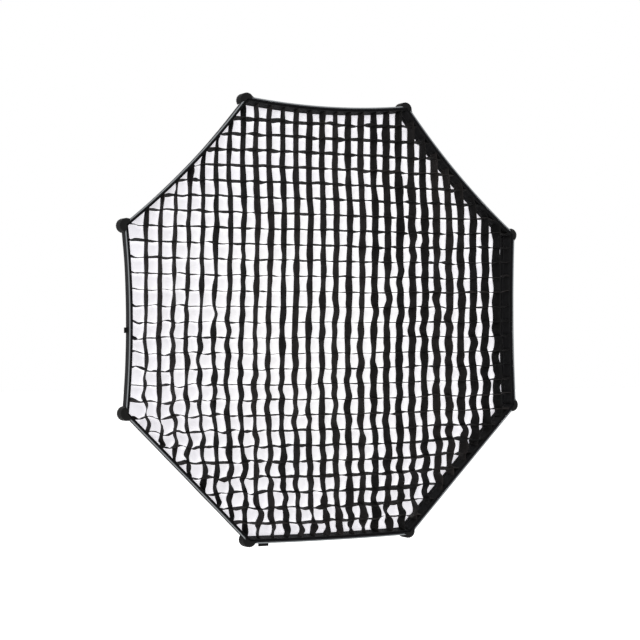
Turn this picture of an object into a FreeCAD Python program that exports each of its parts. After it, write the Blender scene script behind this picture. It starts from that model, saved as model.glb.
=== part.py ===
"""Fabric egg-crate grid of an octagonal softbox, in its front rim, with the diffuser behind it.

Millimetres. +Z is up and the front looks along -Y. The origin is the centre of the whole part.
Depths are measured back from the front plane, and insets inward from the rim's outer face, in
the front plane. Every wall that follows the octagon leans inward by the same amount as it goes
back, because the softbox narrows towards its ribs' hub.
"""
import math
import os

import FreeCAD
import Part

Vector = FreeCAD.Vector
BACKWARD = Vector(0, 1, 0)

# The octagon
ACROSS_FLATS = 1200.0  # over the rim's corners, from flat to flat
SIDES = 8
SIDE_SAG = 8.0  # how far the middle of a side is pulled in from its corners
SIDE_RUNS = 3  # straight runs that stand for a side's hollow curve
LEAN = 0.11  # inward for each millimetre back

# The rim: a band of cloth folded over at its front edge, with piping sewn along the fold
RIM_FRONT = 2.0
RIM_CLOTH = 1.2
RIM_THICKNESS = 4.4
FOLD = 4.0
SKIRT_WIDTH = 40.0  # outer layer, as far as the seam where the softbox's cover begins
LIP_MARGIN = 2.5  # how far the inner layer reaches behind the diffuser's hem
PIPING_RADIUS = 2.0
PIPING_OUT = 0.8  # how far the piping's middle stands outside the rim's outer face

# The corners, where the ribs' tips push in
POCKET_RADIUS = 25.0
POCKET_FLATS = 16
POCKET_PROUD = 13.0
POCKET_DEPTH = 38.0
POCKET_CAP = 2.0
POCKET_CHAMFER = 4.0
CUP_SIDE = 13.0
CUP_LENGTH = 30.0
CUP_FLOOR = 3.0
CUP_OUT = 1.5  # how far the cup's axis stands outside the rim's corner
RIB_TIP_RADIUS = 4.0

# Hook tape on the rim, and loop tape on the grid
TAPE_THICKNESS = 1.2
PEEL_GAP = 0.3
GRID_TAPE_WIDTH = 25.0
GRID_TAPE_DEPTH = 9.0
DIFFUSER_TAPE_WIDTH = 12.0
TAPE_END_GAP = 16.0  # from the end of a tape to the corner

# The grid
GRID_FRONT = 4.0
STRIP_WIDTH = 35.0
STRIP_THICKNESS = 1.0
BORDER_THICKNESS = 1.2
UPRIGHT_PITCH = 40.4
UPRIGHT_SHIFT = 9.0  # how far the middle of the upright strips lies to the right
CROSS_PITCH = 42.2
END_CELL = 20.0  # the least that is left between the outermost strip and a side's middle
FRONT_SEAM = 1.5  # what a cross strip's slots leave whole along its front edge
SLOT_CLEARANCE = 0.1

# The diffuser
DIFFUSER_THICKNESS = 1.0
HEM_GAP = 1.5  # from the back of the grid to the front of the diffuser's hem
HEM_WIDTH = 13.0

# Webbing tabs on the outside of the rim
TAB_THICKNESS = 3.0
TAB_GAP = 0.5
BOTTOM_TAB_WIDTH = 30.0
BOTTOM_TAB_LENGTH = 12.0
BOTTOM_TAB_FROM_CORNER = 48.5  # along the bottom side, from its left-hand corner
BOTTOM_TAB_DEPTH = 20.0
SIDE_TAB_WIDTH = 15.0
SIDE_TAB_LENGTH = 9.0
SIDE_TAB_ALONG = 28.0  # from the middle of the left side
SIDE_TAB_DEPTH = 30.0

# What follows from the sizes above
TURN = 2 * math.pi / SIDES
APOTHEM = ACROSS_FLATS / 2
CORNER_RADIUS = APOTHEM / math.cos(TURN / 2)
HALF_SIDE = APOTHEM * math.tan(TURN / 2)
SAG_RADIUS = HALF_SIDE**2 / (2 * SIDE_SAG) + SIDE_SAG / 2
HOOK_INSET = RIM_THICKNESS + TAPE_THICKNESS
LOOP_INSET = HOOK_INSET + PEEL_GAP
BORDER_INSET = LOOP_INSET + TAPE_THICKNESS
CELL_INSET = BORDER_INSET + BORDER_THICKNESS
HEM_FRONT = GRID_FRONT + STRIP_WIDTH + HEM_GAP
TOTAL_DEPTH = HEM_FRONT + HEM_WIDTH + LIP_MARGIN
LIP_WIDTH = TOTAL_DEPTH - RIM_FRONT
FRONT_Y = -TOTAL_DEPTH / 2
BOTTOM_TAB_ALONG = BOTTOM_TAB_FROM_CORNER - HALF_SIDE
CUP_START = POCKET_DEPTH - CUP_LENGTH
STRIP_REACH = APOTHEM - SIDE_SAG - CELL_INSET - LEAN * (GRID_FRONT + STRIP_WIDTH) - END_CELL
UPRIGHT_PAIRS = math.floor((STRIP_REACH - UPRIGHT_SHIFT) / UPRIGHT_PITCH + 0.5)
CROSS_PAIRS = math.floor(STRIP_REACH / CROSS_PITCH)
BEYOND = 2 * ACROSS_FLATS  # longer than anything here, for cutting tools
SIDE_NAMES = ("right", "upper_right", "top", "upper_left", "left", "lower_left", "bottom", "lower_right")


def side_point(share):
    """A point on the hollow side that faces +X, from its lower end at 0 to its upper end at 1."""
    bend = math.asin(HALF_SIDE / SAG_RADIUS) * (2 * share - 1)
    middle = APOTHEM - SIDE_SAG
    return Vector(middle + SAG_RADIUS * (1 - math.cos(bend)), 0, SAG_RADIUS * math.sin(bend))


def turned(shape, angle):
    """A shape or vector built about +X, turned to another direction in the front plane."""
    spin = FreeCAD.Rotation(BACKWARD, -math.degrees(angle))
    if isinstance(shape, FreeCAD.Vector):
        return spin.multVec(shape)
    copy = shape.copy()
    copy.rotate(Vector(0, 0, 0), BACKWARD, -math.degrees(angle))
    return copy


def closed_wire(points):
    return Part.makePolygon(points + points[:1])


def outline(inset, depth):
    """The octagon at one depth, moved inward."""
    points = [
        turned(side_point(run / SIDE_RUNS), side * TURN)
        for side in range(SIDES)
        for run in range(SIDE_RUNS)
    ]
    wire = closed_wire(points)
    if inset:
        wire = wire.makeOffset2D(-inset, 2)  # 2 keeps the corners sharp
    wire.translate(Vector(0, FRONT_Y + depth, 0))
    return wire


def solid_within(faces):
    """The solid that flat faces close in, with its faces pointing outwards."""
    shell = Part.makeShell(faces)
    shell.sewShape()
    solid = Part.makeSolid(shell)
    if solid.Volume < 0:
        solid.reverse()
    return solid


def wall_between(first, second):
    """Flat faces that join two outlines, run by run."""
    return [Part.Face(face.OuterWire) for face in Part.makeLoft([first, second], False, True).Faces]


def plate(inset, depth, thickness):
    """All that lies inside a leaning wall, between two depths."""
    ends = [outline(inset + LEAN * at, at) for at in (depth, depth + thickness)]
    faces = wall_between(*ends) + [Part.Face(end) for end in ends]
    return solid_within(faces)


def band(outer_inset, inner_inset, depth, width):
    return plate(outer_inset, depth, width).cut(plate(inner_inset, depth, width))


def block(x, y, z, depth, centre=(0.0, 0.0)):
    """A box of size x, y, z that starts at a depth, with its middle at centre."""
    return Part.makeBox(x, y, z, Vector(centre[0] - x / 2, FRONT_Y + depth, centre[1] - z / 2))


def mitred_side(shape, side):
    """One side of a shape that goes all round, cut off at its two corners."""
    tips = [turned(Vector(BEYOND, FRONT_Y, 0), (side + half) * TURN) for half in (-0.5, 0.5)]
    wedge = closed_wire([Vector(0, FRONT_Y, 0)] + tips)
    return shape.common(Part.Face(wedge).extrude(BACKWARD * TOTAL_DEPTH))


def sides_of(shape, end_gap=0.0):
    """The eight sides of a band as separate lengths, each end_gap short of its corners."""
    lengths = [mitred_side(shape, side) for side in range(SIDES)]
    if end_gap:
        keep = block(ACROSS_FLATS, TOTAL_DEPTH, 2 * (HALF_SIDE - end_gap), 0, (APOTHEM, 0))
        lengths = [length.common(turned(keep, side * TURN)) for side, length in enumerate(lengths)]
    return lengths


def at_corners(shape):
    return [turned(shape, (corner + 0.5) * TURN) for corner in range(SIDES)]


def save(name, shapes):
    shape = shapes[0] if len(shapes) == 1 else Part.makeCompound(shapes)
    shape.exportStep(f"parts/{name}.step")


def pocket_round():
    """The rounded outside of a corner pocket, about +X."""
    middle = Vector(CORNER_RADIUS + POCKET_PROUD - POCKET_RADIUS, FRONT_Y, 0)
    step = 2 * math.pi / POCKET_FLATS
    # The radius is to the flats, and one flat faces straight out.
    reach = POCKET_RADIUS / math.cos(step / 2)
    corners = [(flat + 0.5) * step for flat in range(POCKET_FLATS)]
    points = [middle + Vector(reach * math.cos(a), 0, reach * math.sin(a)) for a in corners]
    return Part.Face(closed_wire(points)).extrude(BACKWARD * POCKET_DEPTH)


def cup_block(length):
    """The outside of a rib cup, about +X."""
    return block(CUP_SIDE, length, CUP_SIDE, CUP_START, (CORNER_RADIUS + CUP_OUT, 0))


def piping_ring():
    """A six-sided bead that goes all round the rim's front edge."""
    angles = [(flat + 0.5) * math.pi / 3 for flat in range(6)]
    rings = [
        outline(-PIPING_OUT - PIPING_RADIUS * math.cos(a), PIPING_RADIUS * (1 + math.sin(a)))
        for a in angles
    ]
    faces = []
    for ring, following in zip(rings, rings[1:] + rings[:1]):
        faces += wall_between(ring, following)
    return solid_within(faces)


def rim(piping):
    """Skirt outside and lip inside, joined by the fold at the front, in one panel to a side."""
    skirt = band(0, RIM_CLOTH, RIM_FRONT, SKIRT_WIDTH)
    lip = band(RIM_THICKNESS - RIM_CLOTH, RIM_THICKNESS, RIM_FRONT, LIP_WIDTH)
    fold = band(0, RIM_THICKNESS, RIM_FRONT, FOLD)
    cloth = skirt.fuse([lip, fold]).cut([piping] + at_corners(cup_block(CUP_LENGTH)))
    cloth = cloth.removeSplitter()
    for side, name in enumerate(SIDE_NAMES):
        save(f"rim_panel_{name}", [mitred_side(cloth, side)])


def corner_pockets():
    """A sewn cap round the outside of each corner, with a socket for the rib's cup."""
    pocket = pocket_round()
    front_edges = [edge for edge in pocket.Edges if edge.BoundBox.YMax < FRONT_Y + POCKET_CAP]
    pocket = pocket.makeChamfer(POCKET_CHAMFER, front_edges)
    behind_cap = turned(plate(0, POCKET_CAP, POCKET_DEPTH), TURN / 2)
    window = turned(plate(RIM_THICKNESS, 0, POCKET_DEPTH), TURN / 2)
    pocket = pocket.cut([behind_cap, window, cup_block(CUP_LENGTH)]).removeSplitter()
    save("corner_pockets", at_corners(pocket))


def rib_cups():
    """A moulded cup in each pocket, open at the back, that takes the rib's tip."""
    floor = Vector(CORNER_RADIUS + CUP_OUT, FRONT_Y + CUP_START + CUP_FLOOR, 0)
    tip_hole = Part.makeCylinder(RIB_TIP_RADIUS, CUP_LENGTH, floor, BACKWARD)
    save("rib_cups", at_corners(cup_block(CUP_LENGTH).cut(tip_hole)))


def tapes():
    """Two rows of hook tape on the lip, and the grid's own loop tape."""
    hem_row = HEM_FRONT + (HEM_WIDTH - DIFFUSER_TAPE_WIDTH) / 2
    rows = (
        ("grid_hook_tape", RIM_THICKNESS, GRID_TAPE_DEPTH, GRID_TAPE_WIDTH),
        ("diffuser_hook_tape", RIM_THICKNESS, hem_row, DIFFUSER_TAPE_WIDTH),
        ("grid_loop_tape", LOOP_INSET, GRID_TAPE_DEPTH, GRID_TAPE_WIDTH),
    )
    for name, inset, depth, width in rows:
        tape = band(inset, inset + TAPE_THICKNESS, depth, width)
        save(name, sides_of(tape, TAPE_END_GAP))


def diffuser():
    """White cloth, and the black hem round it that turns forward along the lip."""
    cloth_depth = HEM_FRONT + HEM_WIDTH - DIFFUSER_THICKNESS
    save("diffuser_panel", [plate(CELL_INSET, cloth_depth, DIFFUSER_THICKNESS)])
    save("diffuser_hem", sides_of(band(LOOP_INSET, CELL_INSET, HEM_FRONT, HEM_WIDTH)))


def grid_border():
    save("grid_border", sides_of(band(BORDER_INSET, CELL_INSET, GRID_FRONT, STRIP_WIDTH)))


def mirrored(offset):
    return (offset, -offset) if offset else (0.0,)


def upright_places(pair):
    return [UPRIGHT_SHIFT + offset for offset in mirrored((pair + 0.5) * UPRIGHT_PITCH)]


def upright_strips(cells):
    """Upright strips in pairs, from the middle out. They run whole from border to border."""
    width = STRIP_WIDTH - FRONT_SEAM
    for pair in range(UPRIGHT_PAIRS):
        ribbons = [
            block(STRIP_THICKNESS, width, BEYOND, GRID_FRONT + FRONT_SEAM, (x, 0))
            for x in upright_places(pair)
        ]
        save(f"upright_strips_{pair + 1:02d}", [ribbon.common(cells) for ribbon in ribbons])


def cross_strips(cells):
    """Cross strips in pairs, slotted from the back so that they drop over the upright ones."""
    slot = STRIP_THICKNESS + 2 * SLOT_CLEARANCE
    slots = [
        block(slot, STRIP_WIDTH, BEYOND, GRID_FRONT + FRONT_SEAM, (x, 0))
        for pair in range(UPRIGHT_PAIRS)
        for x in upright_places(pair)
    ]
    for pair in range(CROSS_PAIRS + 1):
        ribbons = [
            block(BEYOND, STRIP_WIDTH, STRIP_THICKNESS, GRID_FRONT, (0, z))
            for z in mirrored(pair * CROSS_PITCH)
        ]
        save(f"cross_strips_{pair:02d}", [ribbon.common(cells).cut(slots) for ribbon in ribbons])


def webbing_tab(name, side_name, width, length, along, depth):
    """A folded loop of webbing that stands out from the skirt and bends at its seam."""
    half = TAB_THICKNESS / 2
    nose = half / math.sqrt(2)
    profile = [(-half, 0), (-nose, -nose), (0, -half)]
    profile += [(length - TAB_THICKNESS - x, y) for x, y in reversed(profile)]
    profile += [(x, -y) for x, y in reversed(profile) if y]
    points = [Vector(x, y, -width / 2) for x, y in profile]
    tab = Part.Face(closed_wire(points)).extrude(Vector(0, 0, width))
    run = math.floor((along / HALF_SIDE + 1) / 2 * SIDE_RUNS)
    low, high = side_point(run / SIDE_RUNS), side_point((run + 1) / SIDE_RUNS)
    tilt = math.atan2(high.x - low.x, high.z - low.z)
    seat = low + (high - low) * ((along - low.z) / (high.z - low.z))
    outward = Vector(math.cos(tilt), 0, -math.sin(tilt))
    place = seat + outward * (half + TAB_GAP - LEAN * depth) + Vector(0, FRONT_Y + depth, 0)
    tab = turned(tab, -tilt)
    tab.translate(place)
    save(name, [turned(tab, SIDE_NAMES.index(side_name) * TURN)])


os.makedirs("parts", exist_ok=True)
ring = piping_ring()
rim(ring)
save("rim_piping", sides_of(ring.cut(at_corners(pocket_round()))))
corner_pockets()
rib_cups()
tapes()
diffuser()
grid_border()
cell_space = plate(CELL_INSET, GRID_FRONT, STRIP_WIDTH)
upright_strips(cell_space)
cross_strips(cell_space)
bottom_size = (BOTTOM_TAB_WIDTH, BOTTOM_TAB_LENGTH)
webbing_tab("bottom_tab", "bottom", *bottom_size, BOTTOM_TAB_ALONG, BOTTOM_TAB_DEPTH)
side_size = (SIDE_TAB_WIDTH, SIDE_TAB_LENGTH)
webbing_tab("side_tab", "left", *side_size, SIDE_TAB_ALONG, SIDE_TAB_DEPTH)
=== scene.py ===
"""Looks of a softbox's fabric egg-crate grid, with the rim that holds it and the diffuser behind it.

Metres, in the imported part's frame: +Z up, the front towards -Y. The pieces come in the order in
which they go together: rim, piping, pockets, tapes, diffuser, then the grid and the webbing tabs.
"""
import math
import random

import bmesh
import bpy
from mathutils import Matrix, Vector, noise


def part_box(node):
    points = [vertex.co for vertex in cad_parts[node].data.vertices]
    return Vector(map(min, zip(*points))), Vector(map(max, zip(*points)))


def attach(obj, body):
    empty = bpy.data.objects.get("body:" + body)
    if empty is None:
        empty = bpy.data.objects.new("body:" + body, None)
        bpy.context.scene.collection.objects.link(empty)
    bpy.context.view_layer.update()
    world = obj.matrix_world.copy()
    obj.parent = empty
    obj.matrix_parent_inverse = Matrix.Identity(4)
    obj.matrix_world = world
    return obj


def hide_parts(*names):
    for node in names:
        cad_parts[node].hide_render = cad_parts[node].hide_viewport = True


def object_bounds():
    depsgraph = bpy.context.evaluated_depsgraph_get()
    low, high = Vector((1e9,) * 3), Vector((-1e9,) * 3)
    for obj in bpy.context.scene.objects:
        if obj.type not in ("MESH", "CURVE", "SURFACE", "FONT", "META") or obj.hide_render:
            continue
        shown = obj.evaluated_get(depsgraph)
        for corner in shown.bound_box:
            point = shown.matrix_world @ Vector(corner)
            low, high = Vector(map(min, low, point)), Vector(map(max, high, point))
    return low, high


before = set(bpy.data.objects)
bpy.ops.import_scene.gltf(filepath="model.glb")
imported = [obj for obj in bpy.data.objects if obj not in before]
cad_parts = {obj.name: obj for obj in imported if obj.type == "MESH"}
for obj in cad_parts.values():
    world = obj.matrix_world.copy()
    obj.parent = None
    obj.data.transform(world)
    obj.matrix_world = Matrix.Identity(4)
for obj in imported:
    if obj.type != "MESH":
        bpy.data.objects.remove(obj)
cad_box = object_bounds()

# --- Camera ---
# It stands to the left of the grid and a little below its middle, five metres away, so that the
# uprights show their left faces and the cross strips are seen nearly edge on.
camera = bpy.data.objects.new("camera", bpy.data.cameras.new("camera"))
camera.data.lens = 104.06
camera.data.sensor_width = 36.0
camera.data.clip_end = 100.0
camera.rotation_mode = "QUATERNION"
camera.location = (-2.3342, -4.5410, -0.0784)
looking = Vector((0.45410, 0.89082, 0.01524)).normalized()
upward = Vector((-0.00115, -0.01652, 0.99986))
sideways = looking.cross(upward).normalized()
upward = sideways.cross(looking)
camera.rotation_quaternion = Matrix((sideways, upward, -looking)).transposed().to_quaternion()
bpy.context.scene.collection.objects.link(camera)
bpy.context.scene.camera = camera

# --- Rim panels ---
# Eight strips of black coated nylon, one to a side, each folded over at the front: a skirt is left
# outside, which the softbox's cover is sewn to, and a lip inside, which carries the hook tapes.
# The ribs' tips hold only the corners, so gravity draws the upper sides in between them.
TURN = math.tau / 8
LEAN = 0.11
FRONT = cad_box[0].y
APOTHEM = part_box("rim_panel_top")[1].z
SIDE_LENGTH = 2 * APOTHEM * math.tan(TURN / 2)
SAG = {
    "right": 0.006,
    "upper_right": 0.015,
    "top": 0.0155,
    "upper_left": 0.015,
    "left": 0.012,
    "lower_left": 0.0005,
    "bottom": -0.003,
    "lower_right": 0.0005,
}
SIDES = list(SAG)
SIDE_RUNS = 48
RIPPLES_PER_METRE = 14


def on_side(side, share, inset, depth):
    """A point on a side, from its lower end at share 0 to its upper at 1, inset from the rim's face."""
    inward = inset + LEAN * depth
    across = 2 * share - 1
    sag = SAG[SIDES[side]] * (1 - across * across)
    height = across * (APOTHEM - inward) * math.tan(TURN / 2)
    spot = Vector((APOTHEM - inward - sag, FRONT + depth, height))
    return Matrix.Rotation(-side * TURN, 3, "Y") @ spot


def weave(bm, runs, rows, size, place):
    """Adds a flat grid of cloth, lays each point by place(share along, share across) and maps it."""
    verts = bmesh.ops.create_grid(bm, x_segments=runs, y_segments=rows, size=0.5)["verts"]
    cloth_map = bm.loops.layers.uv.verify()
    for vert in verts:
        along, across = vert.co.x + 0.5, vert.co.y + 0.5
        for loop in vert.link_loops:
            loop[cloth_map].uv = (along * size[0], across * size[1])
        vert.co = place(along, across)
    return verts


def sew_along(bm, side, stations, start=0.0, end=1.0, ease=0.0):
    """Cloth along one side, with its rows at the stations, each an (inset, depth).

    ease is how far the cloth ripples off its line.
    """
    rows = len(stations) - 1
    width = sum(math.dist(a, b) for a, b in zip(stations, stations[1:]))

    def place(along, across):
        share = start + (end - start) * along
        inset, depth = stations[round(across * rows)]
        spot = on_side(side, share, inset, depth)
        ripple = noise.noise(spot * RIPPLES_PER_METRE + Vector((side, 0, 0))) * ease
        return on_side(side, share, inset + ripple, depth)

    return weave(bm, SIDE_RUNS, rows, (SIDE_LENGTH * (end - start), width), place)


def straight(inset, first, last, rows):
    """Stations across a band that keeps one inset, from one depth to another."""
    return [(inset, first + (last - first) * row / rows) for row in range(rows + 1)]


def add_node(tree, kind, inputs=None, **settings):
    """A shader node with its settings, and its inputs as values or as sockets to link from."""
    made = tree.nodes.new(kind)
    for key, value in settings.items():
        setattr(made, key, value)
    for key, value in (inputs or {}).items():
        if isinstance(value, bpy.types.NodeSocket):
            tree.links.new(value, made.inputs[key])
        else:
            made.inputs[key].default_value = value
    return made


def number(tree, operation, *values):
    """A Math node's output."""
    return add_node(tree, "ShaderNodeMath", dict(enumerate(values)), operation=operation).outputs[0]


def shader_group(name, inputs, outputs):
    """An empty node group with its named sockets, and its two ends."""
    group = bpy.data.node_groups.new(name, "ShaderNodeTree")
    for label, kind, value in inputs:
        socket = group.interface.new_socket(label, in_out="INPUT", socket_type=kind)
        if value is not None:
            socket.default_value = value
    for label, kind in outputs:
        group.interface.new_socket(label, in_out="OUTPUT", socket_type=kind)
    return group, group.nodes.new("NodeGroupInput").outputs, group.nodes.new("NodeGroupOutput").inputs


def plain_weave():
    """Threads that pass over and under each other, with patches where the cloth is rubbed."""
    group, given, out = shader_group(
        "plain weave",
        [("Cloth Map", "NodeSocketVector", None), ("Threads per Metre", "NodeSocketFloat", 1800.0)],
        [("Height", "NodeSocketFloat"), ("Rubbed", "NodeSocketFloat")],
    )
    scaled = add_node(
        group,
        "ShaderNodeVectorMath",
        {0: given["Cloth Map"], "Scale": given["Threads per Metre"]},
        operation="SCALE",
    )
    split = add_node(group, "ShaderNodeSeparateXYZ", {0: scaled.outputs[0]})
    warp, weft = split.outputs["X"], split.outputs["Y"]
    rounds = [
        number(group, "ABSOLUTE", number(group, "SINE", number(group, "MULTIPLY", thread, math.pi)))
        for thread in (warp, weft)
    ]
    crossings = number(group, "ADD", number(group, "FLOOR", warp), number(group, "FLOOR", weft))
    over = number(group, "FLOORED_MODULO", crossings, 2.0)
    height = add_node(group, "ShaderNodeMix", {0: over, 2: rounds[0], 3: rounds[1]})
    patches = add_node(
        group, "ShaderNodeTexNoise", {"Vector": given["Cloth Map"], "Scale": 45.0, "Detail": 5.0}
    )
    rubbed = add_node(
        group, "ShaderNodeMapRange", {0: patches.outputs[0], "From Min": 0.35, "From Max": 0.75}
    )
    group.links.new(height.outputs[0], out["Height"])
    group.links.new(rubbed.outputs[0], out["Rubbed"])
    return group


WEAVE = plain_weave()
ROUGHNESS_SPREAD = 0.08
UNRUBBED_HIGHLIGHT = 0.35  # how much of a strip's painted highlight shows where the cloth isn't rubbed


def cloth(name, colour, wear_and_highlight_colour, roughness, threads, relief, sheen=0.01, highlight_attribute=None):
    """A woven cloth's material. Its last argument names an attribute that varies it from strip to
    strip: a painted highlight, lighter on strips turned towards the light.
    """
    material = bpy.data.materials.new(name)
    material.use_nodes = True
    tree = material.node_tree
    shader = tree.nodes["Principled BSDF"]
    shader.inputs["Sheen Weight"].default_value = sheen
    shader.inputs["Sheen Roughness"].default_value = 0.5
    shader.inputs["Specular IOR Level"].default_value = 0.05
    cloth_map = add_node(tree, "ShaderNodeUVMap", uv_map="UVMap")
    threads_node = add_node(
        tree,
        "ShaderNodeGroup",
        {"Cloth Map": cloth_map.outputs[0], "Threads per Metre": threads},
        node_tree=WEAVE,
    )
    share = threads_node.outputs["Rubbed"]
    # The second colour shows in the rubbed patches as wear. On the strips it is also painted highlight,
    # scaled by each strip's attribute.
    if highlight_attribute:
        painted_highlight = add_node(tree, "ShaderNodeAttribute", attribute_name=highlight_attribute).outputs["Fac"]
        share = number(tree, "MULTIPLY", number(tree, "ADD", share, UNRUBBED_HIGHLIGHT), painted_highlight)
    shade = add_node(
        tree,
        "ShaderNodeMix",
        {0: share, 6: (*colour, 1), 7: (*wear_and_highlight_colour, 1)},
        data_type="RGBA",
    )
    rough = add_node(
        tree,
        "ShaderNodeMapRange",
        {
            0: threads_node.outputs["Rubbed"],
            "To Min": roughness - ROUGHNESS_SPREAD,
            "To Max": roughness + ROUGHNESS_SPREAD,
        },
    )
    bump = add_node(
        tree,
        "ShaderNodeBump",
        {"Height": threads_node.outputs["Height"], "Strength": 0.5, "Distance": relief},
    )
    tree.links.new(shade.outputs[2], shader.inputs["Base Color"])
    tree.links.new(rough.outputs[0], shader.inputs["Roughness"])
    tree.links.new(bump.outputs[0], shader.inputs["Normal"])
    return material


def add_piece(name, bm, body, nodes, material, slot, thickness=0.0):
    """Makes the mesh a piece on its body, standing for its CAD nodes, with the cloth's thickness."""
    mesh = bpy.data.meshes.new(name)
    bm.to_mesh(mesh)
    bm.free()
    mesh.shade_smooth()
    mesh.materials.append(material)
    made = bpy.data.objects.new(name, mesh)
    bpy.context.scene.collection.objects.link(made)
    if thickness:
        wall = made.modifiers.new("thickness", "SOLIDIFY")
        wall.thickness = thickness
        wall.offset = 0.0
    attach(made, body)
    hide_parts(*nodes)
    return made


RIM_CLOTH = 0.0012
SKIRT_END = 0.042
LIP_END = 0.056
FOLD_DEPTH = 0.0042
FOLD_RADIUS = 0.0016
SKIRT_INSET = 0.0006
LIP_INSET = SKIRT_INSET + 2 * FOLD_RADIUS
FOLD_STEPS = 8
SKIRT_ROWS = 10
LIP_ROWS = 12
fold = [
    (
        SKIRT_INSET + FOLD_RADIUS * (1 - math.cos(math.pi * step / FOLD_STEPS)),
        FOLD_DEPTH - FOLD_RADIUS * math.sin(math.pi * step / FOLD_STEPS),
    )
    for step in range(1, FOLD_STEPS)
]
panel_section = (
    straight(SKIRT_INSET, SKIRT_END, FOLD_DEPTH, SKIRT_ROWS)
    + fold
    + straight(LIP_INSET, FOLD_DEPTH, LIP_END, LIP_ROWS)
)
rim_cloth = cloth("rim_cloth", (0.005, 0.005, 0.006), (0.009, 0.009, 0.010), 0.75, 2200, 0.00012)
for side, name in enumerate(SIDES):
    bm = bmesh.new()
    sew_along(bm, side, panel_section, ease=0.0006)
    panel = add_piece(
        f"rim_panel_{name}_cloth", bm, "rim", [f"rim_panel_{name}"], rim_cloth, "rim_cloth", RIM_CLOTH
    )

# --- Stitching ---
# Lockstitch in black bonded thread, four millimetres to a stitch, in rows along the seams. The rows
# of one seam are one piece, of short rounded stitches that are half sunk in the cloth.
STITCH_PITCH = 0.004
STITCH_LENGTH = 0.0029
THREAD_RADIUS = 0.00032
SKIRT_SEAM = 0.0085
LIP_SEAM = 0.0072
thread = cloth("bonded_thread", (0.010, 0.010, 0.011), (0.018, 0.018, 0.019), 0.5, 3000, 0.00005)


def stitch_rows(name, body, rows, start=0.03, end=0.97):
    """Stitches round all sides, in rows that are each an (inset, depth)."""
    bm = bmesh.new()
    count = round(SIDE_LENGTH * (end - start) / STITCH_PITCH)
    for side in range(len(SIDES)):
        turn = Matrix.Rotation(-side * TURN, 4, "Y")
        size = Matrix.Diagonal((THREAD_RADIUS, THREAD_RADIUS, STITCH_LENGTH / 2, 1))
        for inset, depth in rows:
            for stitch in range(count):
                share = start + (end - start) * (stitch + 0.5) / count
                spot = Matrix.Translation(on_side(side, share, inset, depth))
                bmesh.ops.create_icosphere(bm, subdivisions=1, radius=1, matrix=spot @ turn @ size)
    return add_piece(name, bm, body, [], thread, None)


stitch_rows("skirt_stitching", "rim", [(SKIRT_INSET - RIM_CLOTH / 2, SKIRT_SEAM)])
stitch_rows("lip_stitching", "rim", [(LIP_INSET + RIM_CLOTH / 2, LIP_SEAM)])

# --- Piping ---
# A grey woven cord sewn into the fold along each side. Its ends run under the corner pockets, so
# that each side shows one clean line, much lighter than the cloth.
PIPING_RADIUS = 0.0016
PIPING_INSET = -0.0008
PIPING_DEPTH = 0.0021
PIPING_END = 0.03
AROUND = 12
TOUCHING = 0.00001
bead = [
    (
        PIPING_INSET - PIPING_RADIUS * math.cos(math.tau * step / AROUND),
        PIPING_DEPTH + PIPING_RADIUS * math.sin(math.tau * step / AROUND),
    )
    for step in range(AROUND + 1)
]
piping_cloth = cloth("piping_cloth", (0.15, 0.16, 0.165), (0.22, 0.23, 0.24), 0.5, 1400, 0.0002)
bm = bmesh.new()
for side in range(len(SIDES)):
    sew_along(bm, side, bead, PIPING_END, 1 - PIPING_END)
bmesh.ops.remove_doubles(bm, verts=bm.verts, dist=TOUCHING)
bmesh.ops.holes_fill(bm, edges=bm.edges, sides=AROUND)
bmesh.ops.recalc_face_normals(bm, faces=bm.faces)
add_piece("rim_piping_cord", bm, "rim", ["rim_piping"], piping_cloth, "piping_cloth")

# --- Corner pockets ---
# Black webbing sewn into a rounded cap over each corner. Its face covers the fold of the two sides
# that meet there, and its wall goes back round a moulded cup that takes the rib's tip.
CORNER_RADIUS = APOTHEM / math.cos(TURN / 2)
POCKET_RADIUS = 0.019
POCKET_PROUD = 0.012
POCKET_DEPTH = 0.038
POCKET_WALL = 0.002
POCKET_FULL_DEPTH = 0.009
FRONT_SHARE = 0.22  # of the pocket's bulge, at its front
POCKET_STEPS = 40
POCKET_ROWS = 20
FACE_SHARE = 0.3  # of the rows, across the cap's face
FACE_DISH = 0.0008  # how far the cap's face sinks in at the lip's line
PUCKERS = 20  # in a full turn
PUCKER = 0.0003
WINDOW_INSET = 0.0042
pocket_middle = CORNER_RADIUS + POCKET_PROUD - POCKET_RADIUS
window_tip = CORNER_RADIUS - WINDOW_INSET / math.cos(TURN / 2) - pocket_middle
opening_half = math.pi / 2 - TURN / 2  # from the corner's bisector to each side's line


def pocket_outline(along, depth):
    """The direction and distance of the pocket's wall from its middle, from one side's skirt to the
    other's. The wall swells from the corner itself to a full round a little way back.
    """
    reach = POCKET_RADIUS - POCKET_WALL / 2
    to_skirt = (CORNER_RADIUS - pocket_middle) * math.cos(TURN / 2) - LEAN * depth
    angle = (2 * along - 1) * (TURN / 2 + math.acos(to_skirt / reach))
    skirt = to_skirt / math.cos(abs(angle) - TURN / 2)
    share = min(1.0, depth / POCKET_FULL_DEPTH)
    swell = FRONT_SHARE + (1 - FRONT_SHARE) * share * (2 - share)
    pucker = PUCKER * math.sin(angle * PUCKERS) * share
    return angle, skirt + (reach - skirt) * swell + pucker


def on_pocket(along, across):
    """A point of the cap: over its face from the lip's line, and back along its wall."""
    crown = POCKET_WALL / 2
    depth = crown + (POCKET_DEPTH - crown) * max(0.0, across - FACE_SHARE) / (1 - FACE_SHARE)
    angle, radius = pocket_outline(along, depth)
    if across < FACE_SHARE:
        window = window_tip * math.sin(opening_half) / math.sin(math.pi - opening_half - abs(angle))
        window = min(window, radius - POCKET_WALL)
        share = across / FACE_SHARE
        radius = window + (radius - window) * share
        depth += FACE_DISH * (1 - share) ** 2
    return Vector((pocket_middle + radius * math.cos(angle), FRONT + depth, radius * math.sin(angle)))


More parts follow.
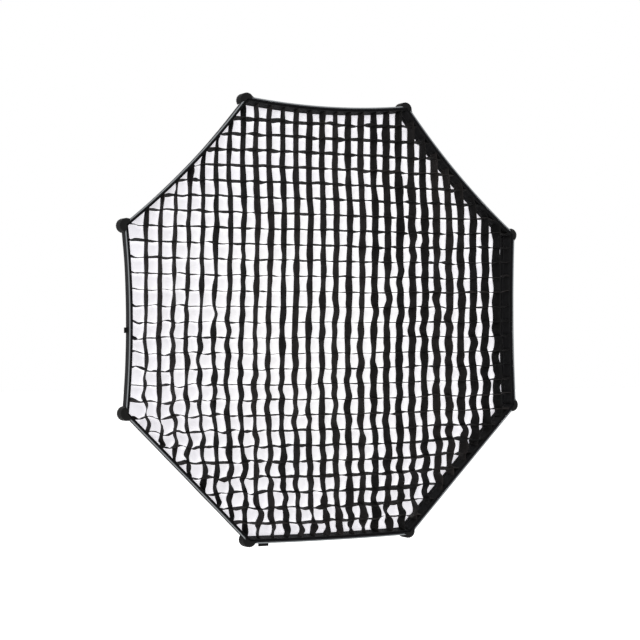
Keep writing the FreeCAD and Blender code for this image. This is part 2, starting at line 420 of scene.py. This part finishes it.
pocket_webbing = cloth("pocket_webbing", (0.005, 0.005, 0.005), (0.010, 0.0095, 0.0095), 0.7, 700, 0.0003)
bm = bmesh.new()
for corner in range(len(SIDES)):
    turn = Matrix.Rotation(-(corner + 0.5) * TURN, 3, "Y")
    size = (3 * POCKET_RADIUS, POCKET_DEPTH / (1 - FACE_SHARE))
    weave(bm, POCKET_STEPS, POCKET_ROWS, size, lambda along, across: turn @ on_pocket(along, across))
add_piece(
    "corner_pockets_sewn", bm, "rim", ["corner_pockets"], pocket_webbing, "pocket_webbing", POCKET_WALL
)

# --- Rib cups ---
# Moulded nylon, one in each pocket, open at the back for the rib's tip. They are the frame's own
# pieces with a finely grained black plastic.
cup_plastic = bpy.data.materials.new("cup_plastic")
cup_plastic.use_nodes = True
tree = cup_plastic.node_tree
place = add_node(tree, "ShaderNodeTexCoord").outputs["Object"]
grain = add_node(tree, "ShaderNodeTexNoise", {"Vector": place, "Scale": 1800.0, "Detail": 3.0})
scuffs = add_node(tree, "ShaderNodeTexNoise", {"Vector": place, "Scale": 90.0, "Detail": 6.0})
shader = tree.nodes["Principled BSDF"]
shade = add_node(
    tree,
    "ShaderNodeMix",
    {0: scuffs.outputs[0], 6: (0.012, 0.012, 0.013, 1), 7: (0.03, 0.03, 0.032, 1)},
    data_type="RGBA",
)
rough = add_node(tree, "ShaderNodeMapRange", {0: scuffs.outputs[0], "To Min": 0.32, "To Max": 0.6})
bump = add_node(tree, "ShaderNodeBump", {"Height": grain.outputs[0], "Strength": 0.3, "Distance": 0.0001})
tree.links.new(shade.outputs[2], shader.inputs["Base Color"])
tree.links.new(rough.outputs[0], shader.inputs["Roughness"])
tree.links.new(bump.outputs[0], shader.inputs["Normal"])
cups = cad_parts["rib_cups"]
cups.data.materials.clear()
cups.data.materials.append(cup_plastic)

# --- Hook and loop tapes ---
# Two rows of black hook tape on the lip, the front one for the grid and the rear one for the
# diffuser, and a loop tape on the grid's border. Each stops short of the corners.
TAPE = 0.0012
TAPE_END = 0.035  # from a corner, as a share of the side
TAPE_ROWS = 4


def pile(name, scale, relief, tips):
    """A tape's material: a dark ground with hooks or loops standing in rows on it."""
    material = cloth(name, (0.006, 0.006, 0.006), (0.010, 0.010, 0.010), 0.85, 900, 0.0002)
    tree = material.node_tree
    shader = tree.nodes["Principled BSDF"]
    cloth_map = tree.nodes["UV Map"].outputs[0]
    cells = add_node(
        tree, "ShaderNodeTexVoronoi", {"Vector": cloth_map, "Scale": scale, "Randomness": tips}
    )
    bump = add_node(
        tree, "ShaderNodeBump", {"Height": cells.outputs["Distance"], "Strength": 0.9, "Distance": relief}
    )
    tree.links.new(bump.outputs[0], shader.inputs["Normal"])
    return material


hook_tape = pile("hook_tape", 900.0, -0.0006, 0.15)
loop_tape = pile("loop_tape", 1500.0, 0.0008, 1.0)
tapes = (
    ("grid_hook_tape", "rim", 0.0050, 0.009, 0.034, hook_tape),
    ("diffuser_hook_tape", "rim", 0.0050, 0.041, 0.053, hook_tape),
    ("grid_loop_tape", "grid", 0.0065, 0.009, 0.034, loop_tape),
)
for name, body, inset, first, last, finish in tapes:
    bm = bmesh.new()
    for side in range(len(SIDES)):
        sew_along(bm, side, straight(inset, first, last, TAPE_ROWS), TAPE_END, 1 - TAPE_END)
    add_piece(f"{name}_sewn", bm, body, [name], finish, name[-9:], TAPE)

# --- Diffuser ---
# White translucent nylon, cut to the octagon. Its light from inside the softbox is a painted glow,
# dimmer towards the edge and in its creases as painted shade. It is a little slack, with shallow
# folds, and a black hem turns forward round it to grip the lip's tape.
HEM_FRONT = 0.0405
HEM_BACK = 0.0535
HEM_INSET = 0.0071
HEM_CLOTH = 0.0022
HEM_ROWS = 4
DIFFUSER = 0.001
DIFFUSER_DEPTH = 0.053
RINGS = 40
RING_RUNS = 24  # on each side of a ring
SLACK_DEPTH = 0.0035  # of the folds
FOLDS_ACROSS = 3.2  # for each metre
FOLDS_UP = 2.0
CREASES = 9
CREASE_SHARE = 0.4
EDGE_POWER = 6  # so high that the folds die out only near the edge
diffuser_inset = HEM_INSET + HEM_CLOTH / 2


def on_diffuser(side, share, ring):
    """A point of the diffuser, on rings from its middle at 0 to its edge at 1."""
    edge = on_side(side, share, diffuser_inset, DIFFUSER_DEPTH)
    spot = Vector((edge.x * ring, edge.y, edge.z * ring))
    folds = noise.noise(Vector((spot.x * FOLDS_ACROSS, 4.0, spot.z * FOLDS_UP)))
    folds += CREASE_SHARE * noise.noise(spot * CREASES)
    spot.y += SLACK_DEPTH * folds * (1 - ring ** EDGE_POWER)
    return spot


bm = bmesh.new()
for side in range(len(SIDES)):
    size = (SIDE_LENGTH, APOTHEM)
    weave(bm, RING_RUNS, RINGS, size, lambda along, across: on_diffuser(side, along, across))
cloth_map = bm.loops.layers.uv.verify()
bmesh.ops.remove_doubles(bm, verts=bm.verts, dist=TOUCHING)
for face in bm.faces:
    for loop in face.loops:
        loop[cloth_map].uv = (loop.vert.co.x, loop.vert.co.z)
bmesh.ops.recalc_face_normals(bm, faces=bm.faces)
diffuser_cloth = cloth(
    "diffuser_cloth", (0.88, 0.88, 0.89), (0.84, 0.835, 0.86), 0.8, 1500, 0.0001, sheen=0.0
)
tree = diffuser_cloth.node_tree
shader = tree.nodes["Principled BSDF"]
# The glow is painted light: the emission stands in for the softbox's lamp behind the diffuser. It is dimmed
# towards the edge, and by a noise as painted shade in its creases.
place = add_node(tree, "ShaderNodeTexCoord").outputs["Object"]
from_middle = add_node(tree, "ShaderNodeVectorMath", {0: place}, operation="LENGTH").outputs["Value"]
falloff = add_node(tree, "ShaderNodeMapRange", {0: from_middle, "From Min": 0.15, "From Max": 0.62})
painted_crease_shade = add_node(tree, "ShaderNodeTexNoise", {"Vector": place, "Scale": 5.0, "Detail": 4.0})
painted_edge_shade = number(tree, "MULTIPLY", falloff.outputs[0], number(tree, "ADD", painted_crease_shade.outputs[0], 0.4))
painted_glow = add_node(
    tree,
    "ShaderNodeMix",
    {0: painted_edge_shade, 6: (1.0, 0.985, 0.995, 1), 7: (0.86, 0.84, 0.90, 1)},
    data_type="RGBA",
)
tree.links.new(painted_glow.outputs[2], shader.inputs["Emission Color"])
shader.inputs["Emission Strength"].default_value = 0.70
diffuser = add_piece(
    "diffuser_sheet", bm, "diffuser", ["diffuser_panel"], diffuser_cloth, "diffuser_cloth", DIFFUSER
)

hem_cloth = cloth("hem_cloth", (0.006, 0.006, 0.006), (0.011, 0.011, 0.012), 0.7, 1800, 0.00012)
bm = bmesh.new()
for side in range(len(SIDES)):
    sew_along(bm, side, straight(HEM_INSET, HEM_FRONT, HEM_BACK, HEM_ROWS), ease=0.0003)
hem = add_piece("diffuser_hem_sewn", bm, "diffuser", ["diffuser_hem"], hem_cloth, "border_cloth", HEM_CLOTH)

# --- Grid border ---
# A band of black nylon as deep as the strips, in one length to a side. The strips' ends are sewn
# to it, and the loop tape outside it presses on to the lip's hook tape.
GRID_FRONT = 0.004
GRID_BACK = 0.039
BORDER_INSET = 0.0077
BORDER_CLOTH = 0.0012
BORDER_ROWS = 8
BORDER_SEAMS = (0.0062, 0.0368)
border_cloth = cloth("border_cloth", (0.006, 0.006, 0.006), (0.012, 0.012, 0.013), 0.7, 2000, 0.00012)
bm = bmesh.new()
for side in range(len(SIDES)):
    sew_along(bm, side, straight(BORDER_INSET, GRID_FRONT, GRID_BACK, BORDER_ROWS), ease=0.0005)
border = add_piece(
    "grid_border_cloth", bm, "grid", ["grid_border"], border_cloth, "border_cloth", BORDER_CLOTH
)
cell_inset = BORDER_INSET + BORDER_CLOTH / 2
stitch_rows("border_stitching", "grid", [(cell_inset, depth) for depth in BORDER_SEAMS])

# --- Grid strips ---
# Ribbons of black nylon on edge: uprights that run whole from border to border, and cross strips
# slotted from the back that drop over them. The cloth is limp and cut a little long, so it waves
# between the crossings, and the cross strips' tails droop behind their front edges.
STRIP = 0.001
CELL_RUNS = 4
DEPTH_ROWS = 4
SLOT_ROW = 2  # rows of a cross strip that hold at a crossing, counted from the front
strip_width = GRID_BACK - GRID_FRONT


def places_of(prefix, axis):
    """Where each strip of a family stands, from the boxes of its nodes."""
    found = set()
    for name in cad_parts:
        if name.startswith(prefix):
            low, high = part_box(name)
            found |= {round(low[axis] + STRIP / 2, 5), round(high[axis] - STRIP / 2, 5)}
    return sorted(found)


upright_places = places_of("upright_strips_", 0)
cross_places = places_of("cross_strips_", 2)


def span(places):
    """The ends of a row of crossings, two cells beyond the outermost strips, and its runs."""
    pitch = (places[-1] - places[0]) / (len(places) - 1)
    return places[0] - 2 * pitch, places[-1] + 2 * pitch, (len(places) + 3) * CELL_RUNS


lattice = bmesh.new()
strip_number = lattice.faces.layers.int.new("strip")
low, high, runs = span(cross_places)
for x in upright_places:
    old = set(lattice.faces)
    weave(
        lattice,
        runs,
        DEPTH_ROWS,
        (high - low, strip_width),
        lambda along, across: Vector(
            (x, FRONT + GRID_FRONT + across * strip_width, low + along * (high - low))
        ),
    )
    for face in set(lattice.faces) - old:
        face[strip_number] = upright_places.index(x)
uprights_end = len(lattice.verts)
low, high, runs = span(upright_places)
for z in cross_places:
    old = set(lattice.faces)
    weave(
        lattice,
        runs,
        DEPTH_ROWS,
        (high - low, strip_width),
        lambda along, across: Vector(
            (low + along * (high - low), FRONT + GRID_FRONT + across * strip_width, z)
        ),
    )
    for face in set(lattice.faces) - old:
        face[strip_number] = len(upright_places) + cross_places.index(z)

# Each tail of a cross strip is free of the uprights behind the slot's end.
row_depth = strip_width / DEPTH_ROWS
slot_end = FRONT + GRID_FRONT + SLOT_ROW * row_depth
NEAR = 0.0001
lattice.verts.ensure_lookup_table()
lattice.verts.index_update()
slots = [
    edge
    for edge in lattice.edges
    if edge.verts[0].index >= uprights_end
    and abs(edge.verts[0].co.x - edge.verts[1].co.x) < NEAR
    and min(vert.co.y for vert in edge.verts) > slot_end - NEAR
    and min(abs(edge.verts[0].co.x - x) for x in upright_places) < NEAR
]
bmesh.ops.split_edges(lattice, edges=slots)
held = [vert for vert in lattice.verts if vert.co.y < slot_end + NEAR]
bmesh.ops.remove_doubles(lattice, verts=held, dist=NEAR)
mouth = APOTHEM - cell_inset - LEAN * GRID_FRONT
for side in range(len(SIDES)):
    turn = Matrix.Rotation(-side * TURN, 3, "Y")
    bmesh.ops.bisect_plane(
        lattice,
        geom=lattice.verts[:] + lattice.edges[:] + lattice.faces[:],
        dist=NEAR,
        plane_co=turn @ Vector((mouth, 0, 0)),
        plane_no=turn @ Vector((1, 0, 0)),
        clear_outer=True,
    )
SLIVER = 0.0012  # the cuts leave no two points nearer than this
bmesh.ops.remove_doubles(lattice, verts=lattice.verts, dist=SLIVER)

SAG_REACH = 0.045


def drawn_in(spot):
    """Where a point of the flat lattice goes as its border leans in and its sides are drawn in."""
    taper = 1 - LEAN * (spot.y - FRONT - GRID_FRONT) / mouth
    moved = Vector((spot.x * taper, spot.y, spot.z * taper))
    for side, sag in enumerate(SAG.values()):
        local = Matrix.Rotation(side * TURN, 3, "Y") @ spot
        across = local.z / (mouth * math.tan(TURN / 2))
        if abs(across) < 1:
            pull = sag * (1 - across * across) * math.exp((local.x - mouth) / SAG_REACH)
            moved -= Matrix.Rotation(-side * TURN, 3, "Y") @ Vector((pull, 0, 0))
    return moved


WAVES_PER_METRE = 26
WAVE_HEIGHT = 0.005


def wave(spot):
    """A small waver, half as high up and down, which the cloth's slack then grows or flattens."""
    where = spot * WAVES_PER_METRE + Vector((3.1, 0, 7.7))
    return Vector((noise.noise(where), 0, noise.noise(where + Vector((40, 0, 0))) * 0.5)) * WAVE_HEIGHT


LOOSE_EVERYWHERE = 0.2
LOOSER_TO_THE_RIGHT = 0.45  # for each metre from the middle
LOOSER_LOW_DOWN = 0.35  # for each metre from the middle
LOOSER_AT_SLANTS = 0.7
SLANT_REACH = 0.05


def slack(spot):
    """The share from the least slack to the most: the cloth is loosest low down, to the right, and
    along the slanting sides."""
    share = LOOSE_EVERYWHERE
    share += LOOSER_TO_THE_RIGHT * max(0.0, spot.x)
    share += LOOSER_LOW_DOWN * max(0.0, -spot.z)
    for side in range(1, len(SIDES), 2):
        reach = (Matrix.Rotation(side * TURN, 3, "Y") @ spot).x
        share += LOOSER_AT_SLANTS * math.exp((reach - mouth) / SLANT_REACH)
    return min(1.0, share)


def settle(bm, sewn, looseness, frames, limit):
    """Lets cloth hang from its sewn points by cloth simulation, and lays the mesh as it settles.

    looseness is each point's share from LEAST_SLACK to MOST_SLACK, by which the cloth is cut long.
    """
    mesh = bpy.data.meshes.new("settling")
    bm.to_mesh(mesh)
    model = bpy.data.objects.new("settling", mesh)
    bpy.context.scene.collection.objects.link(model)
    model.vertex_groups.new(name="sewn").add(sewn, 1.0, "REPLACE")
    tight = model.vertex_groups.new(name="tight")
    for index, share in enumerate(looseness):
        tight.add([index], 1 - share, "REPLACE")
    modifier = model.modifiers.new("cloth", "CLOTH")
    settings = modifier.settings
    settings.quality = 4
    settings.mass = 0.01
    settings.tension_stiffness = 30
    settings.compression_stiffness = 30
    settings.shear_stiffness = 4
    settings.bending_stiffness = 0.15
    settings.effector_weights.gravity = 0.15
    settings.vertex_group_mass = "sewn"
    settings.vertex_group_shrink = "tight"
    settings.shrink_min = -MOST_SLACK
    settings.shrink_max = -LEAST_SLACK
    modifier.point_cache.frame_start = 1
    modifier.point_cache.frame_end = frames
    scene = bpy.context.scene
    for step in range(1, frames + 1):
        scene.frame_set(step)
    settled = model.evaluated_get(bpy.context.evaluated_depsgraph_get()).data
    for vert, point in zip(bm.verts, settled.vertices):
        move = point.co - vert.co
        vert.co += move * min(1.0, limit / max(move.length, NEAR))
    scene.frame_set(1)
    bpy.data.objects.remove(model)
    bpy.data.meshes.remove(mesh)


SEAM_REACH = 0.002  # what lies this near the border is sewn to it
LEAST_SLACK = 0.002
MOST_SLACK = 0.052
SETTLING_FRAMES = 18
SETTLING_LIMIT = 0.016  # the farthest that a point may move
sewn, looseness = [], []
for index, vert in enumerate(lattice.verts):
    flat = vert.co.copy()
    looseness.append(slack(flat))
    vert.co = drawn_in(flat)
    reach = max((Matrix.Rotation(side * TURN, 3, "Y") @ flat).x for side in range(len(SIDES)))
    if reach > mouth - SEAM_REACH:
        sewn.append(index)
    else:
        vert.co += wave(flat)
settle(lattice, sewn, looseness, SETTLING_FRAMES, SETTLING_LIMIT)

# The strips' lighter colour is painted highlight, mixed in through the rubbed patches: the strips twist a
# little, and those turned towards the light show lighter.
strip_cloth = cloth(
    "strip_cloth", (0.006, 0.006, 0.006), (0.026, 0.022, 0.021), 0.66, 2000, 0.00012, highlight_attribute="strip_highlight"
)
# Each strip draws its own painted highlight level at random.
HIGHLIGHT_SEED = 11
HIGHLIGHT_LEVELS = (0.0, 0.15, 0.3, 0.5, 0.9)
highlight_draw = random.Random(HIGHLIGHT_SEED)
families = (
    ("upright_strips_", upright_places, 0, 0),
    ("cross_strips_", cross_places, 2, len(upright_places)),
)
for prefix, places, axis, offset in families:
    for name in sorted(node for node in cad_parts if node.startswith(prefix)):
        low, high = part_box(name)
        pair = {round(low[axis] + STRIP / 2, 5), round(high[axis] - STRIP / 2, 5)}
        wanted = {offset + places.index(place) for place in pair}
        bm = lattice.copy()
        strip_number = bm.faces.layers.int["strip"]
        others = [face for face in bm.faces if face[strip_number] not in wanted]
        bmesh.ops.delete(bm, geom=others, context="FACES")
        strip_highlight = bm.faces.layers.float.new("strip_highlight")
        strip_highlights = {strip: highlight_draw.choice(HIGHLIGHT_LEVELS) for strip in sorted(wanted)}
        for face in bm.faces:
            face[strip_highlight] = strip_highlights[face[strip_number]]
        strips = add_piece(f"{name}_cloth", bm, "grid", [name], strip_cloth, "strip_cloth", STRIP)
        smooth = strips.modifiers.new("smooth", "SUBSURF")
        smooth.levels = smooth.render_levels = 1
        strips.modifiers.move(1, 0)
        length = sum(2 * min(APOTHEM, APOTHEM * math.sqrt(2) - abs(place)) for place in pair)
lattice.free()

# --- Webbing tabs ---
# Short loops of black webbing on the outside of the skirt, one under the bottom side and a smaller
# one on the left. Each is folded in two with its ends sewn into a seam of the skirt, where it bends.
TAB_CLOTH = 0.0013
FACE_END = 0.42  # how far along the webbing its nose begins
WIDTH_SHARE = 0.97  # of its solid's width
LOOP_RUNS = 24
LOOP_ROWS = 8
tab_webbing = cloth("tab_webbing", (0.006, 0.006, 0.006), (0.012, 0.012, 0.012), 0.6, 500, 0.0004)
for name, side, width_axis in (("bottom_tab", "bottom", 0), ("side_tab", "left", 2)):
    low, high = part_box(name)
    middle = (low + high) / 2
    turn = SIDES.index(side) * TURN
    outward = Matrix.Rotation(-turn, 3, "Y") @ Vector((1, 0, 0))
    tangent = Matrix.Rotation(-turn, 3, "Y") @ Vector((0, 0, 1))
    width = (high - low)[width_axis] * WIDTH_SHARE
    length = (high - low)[2 - width_axis]
    nose = (high - low).y / 2 - TAB_CLOTH / 2
    seam = on_side(SIDES.index(side), (middle.dot(tangent) / SIDE_LENGTH) + 0.5, 0, middle.y - FRONT)
    middle += outward * ((seam - middle).dot(outward) + length / 2)

    def on_loop(along, across):
        """A point of the folded webbing: out along its face, round its nose and back."""
        reach = length / 2 - nose
        if along < FACE_END:
            out, deep = -length / 2 + (reach + length / 2) * along / FACE_END, -nose
        elif along > 1 - FACE_END:
            out, deep = -length / 2 + (reach + length / 2) * (1 - along) / FACE_END, nose
        else:
            bend = math.pi * (along - FACE_END) / (1 - 2 * FACE_END)
            out, deep = reach + nose * math.sin(bend), -nose * math.cos(bend)
        return middle + outward * out + Vector((0, deep, 0)) + tangent * width * (across - 0.5)

    bm = bmesh.new()
    weave(bm, LOOP_RUNS, LOOP_ROWS, (2 * length, width), on_loop)
    body = name.replace("tab", "loop")
    add_piece(f"{name}_webbing", bm, body, [name], tab_webbing, "tab_webbing", TAB_CLOTH)

# --- Studio ---
# A plain white floor well below the grid, white surroundings, and three large soft lights: in front
# on the left, in front on the right, and behind.
FLOOR_RADIUS = 40.0
FLOOR_HEIGHT = -1.1
world = bpy.data.worlds.new("surroundings")
world.use_nodes = True
world.node_tree.nodes["Background"].inputs["Color"].default_value = (1, 1, 1, 1)
world.node_tree.nodes["Background"].inputs["Strength"].default_value = 1.0
bpy.context.scene.world = world
bpy.context.scene.view_settings.view_transform = "Standard"

bm = bmesh.new()
bmesh.ops.create_circle(bm, cap_ends=True, radius=FLOOR_RADIUS, segments=64)
bmesh.ops.translate(bm, verts=bm.verts, vec=(0, 0, FLOOR_HEIGHT))
mesh = bpy.data.meshes.new("floor")
bm.to_mesh(mesh)
bm.free()
floor_paint = bpy.data.materials.new("floor_paint")
floor_paint.use_nodes = True
shader = floor_paint.node_tree.nodes["Principled BSDF"]
shader.inputs["Base Color"].default_value = (0.95, 0.95, 0.95, 1)
shader.inputs["Roughness"].default_value = 0.9
shader.inputs["Emission Color"].default_value = (1, 1, 1, 1)
shader.inputs["Emission Strength"].default_value = 0.25
mesh.materials.append(floor_paint)
floor = bpy.data.objects.new("floor", mesh)
bpy.context.scene.collection.objects.link(floor)

lights = (
    ("front_light", (-2.5, -4.5, 2.5), 3.0, 90.0),
    ("side_light", (3.5, -3.0, 1.5), 2.5, 45.0),
    ("back_light", (1.0, 4.5, 2.5), 3.0, 60.0),
)
for name, place, size, power in lights:
    light = bpy.data.lights.new(name, "AREA")
    light.size = size
    light.energy = power
    lamp = bpy.data.objects.new(name, light)
    lamp.location = place
    lamp.rotation_mode = "QUATERNION"
    lamp.rotation_quaternion = (-Vector(place)).to_track_quat("-Z", "Y")
    bpy.context.scene.collection.objects.link(lamp)
